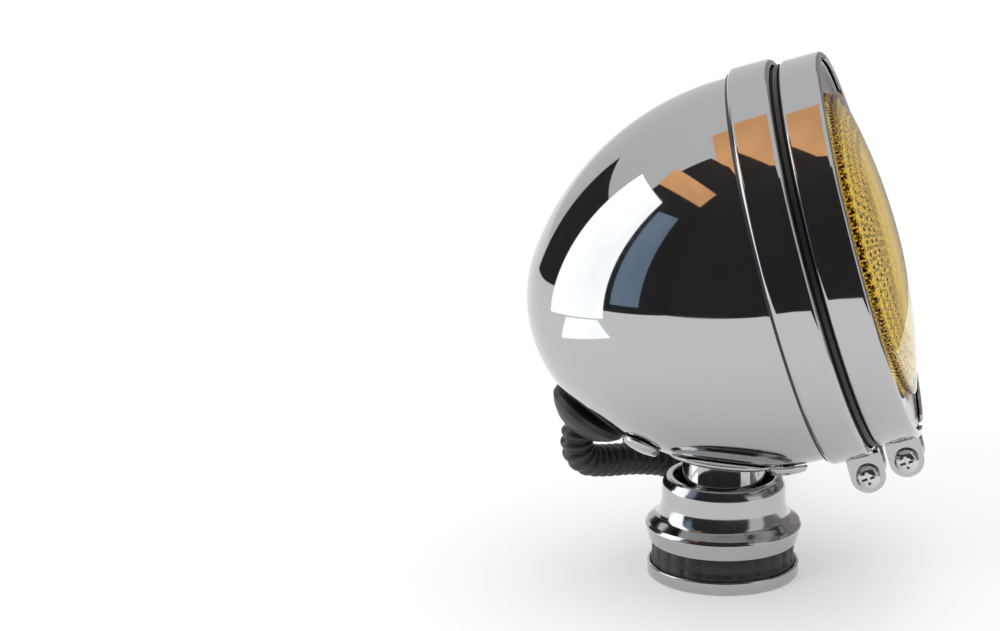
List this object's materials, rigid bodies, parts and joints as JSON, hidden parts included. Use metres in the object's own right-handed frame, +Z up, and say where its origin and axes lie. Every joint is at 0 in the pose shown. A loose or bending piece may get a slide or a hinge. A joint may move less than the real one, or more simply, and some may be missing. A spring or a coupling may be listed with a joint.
{
  "type": "round fog light",
  "caption": "Round chrome fog light with an amber beaded lens, split clamp bands and a ball-swivel pedestal on a rubber pad.",
  "frame": {"origin": "centre of the base disc's underside, on the upright stud axis", "axes": "+Z up along the stud axis, the lens faces -Y and is tilted 16.5 degrees upward"},
  "size_m": [0.2329, 0.1624, 0.2178],
  "materials": {
    "chrome": "polished chrome-plated pressed steel",
    "dark_mirror": "chrome-plated pressed ring",
    "zinc": "bright zinc-plated steel",
    "steel": "plain machined steel",
    "amber_glass": "amber-yellow moulded glass, polished",
    "clear_glass": "clear quartz glass",
    "reflector": "aluminised mirror",
    "well": "dull metallised recess",
    "rubber": "matt black rubber",
    "loom": "black corrugated polyethylene",
    "black_plastic": "black moulded plastic",
    "black_paint": "black painted steel",
    "brass": "tinned brass",
    "wire": "black cable insulation",
    "tungsten": "tungsten wire"
  },
  "bodies": {
    "base": {"base_disc": "chrome", "rubber_pad": "rubber", "weld_nut": "zinc", "pedestal_plate": "steel", "pedestal_cup": "chrome", "ball_seat": "steel", "pivot_stud": "zinc", "spring_washer": "steel"},
    "swivel": {"slot_washer": "steel", "cord_loom": "loom", "loom_sleeve": "black_plastic", "lead_connector": "black_plastic", "connector_pins": "brass"},
    "head": {"band_gasket": "rubber", "bulb_filament": "tungsten", "bulb_flange": "zinc", "bulb_glass": "clear_glass", "bulb_lead": "wire", "bulb_well": "well", "carrier_ring": "black_paint", "clip_bracket": "zinc", "collar_ring_nut": "zinc", "cord_grommet": "rubber", "faceplate": "dark_mirror", "front_clamp_band": "chrome", "housing_bowl": "chrome", "lens": "amber_glass", "lens_seal": "rubber", "levelling_ring": "steel", "plate_bolts": "chrome", "plate_nuts": "zinc", "rear_clamp_band": "chrome", "reflector": "reflector", "reinforcing_plate": "zinc", "saddle_flange": "chrome", "swivel_ball": "chrome"},
    "rear_screw": {"rear_clamp_screw": "zinc"},
    "front_screw": {"front_clamp_screw": "zinc"},
    "bulb_clip": {"bulb_clip": "zinc"}
  },
  "joints": [
    {"name": "swivel", "type": "hinge", "parent": "base", "child": "swivel", "pos_m": [0, 0, 0.03], "axis": [0, 0, 1], "range_deg": [-90, 90]},
    {"name": "tilt", "type": "hinge", "parent": "swivel", "child": "head", "pos_m": [0, 0, 0.03], "axis": [1, 0, 0], "range_deg": [-14, 6], "deforming": ["cord_loom"]},
    {"name": "rear_screw_turn", "type": "hinge", "parent": "head", "child": "rear_screw", "pos_m": [-0.0085, -0.05892, 0.0457], "axis": [1, 0, 0], "continuous": true},
    {"name": "front_screw_turn", "type": "hinge", "parent": "head", "child": "front_screw", "pos_m": [-0.0085, -0.07429, 0.05297], "axis": [1, 0, 0], "continuous": true},
    {"name": "bulb_clip_hinge", "type": "hinge", "parent": "head", "child": "bulb_clip", "pos_m": [0, 0.00703, 0.13526], "axis": [1, 0, 0], "range_deg": [-80, 0]}
  ]
}
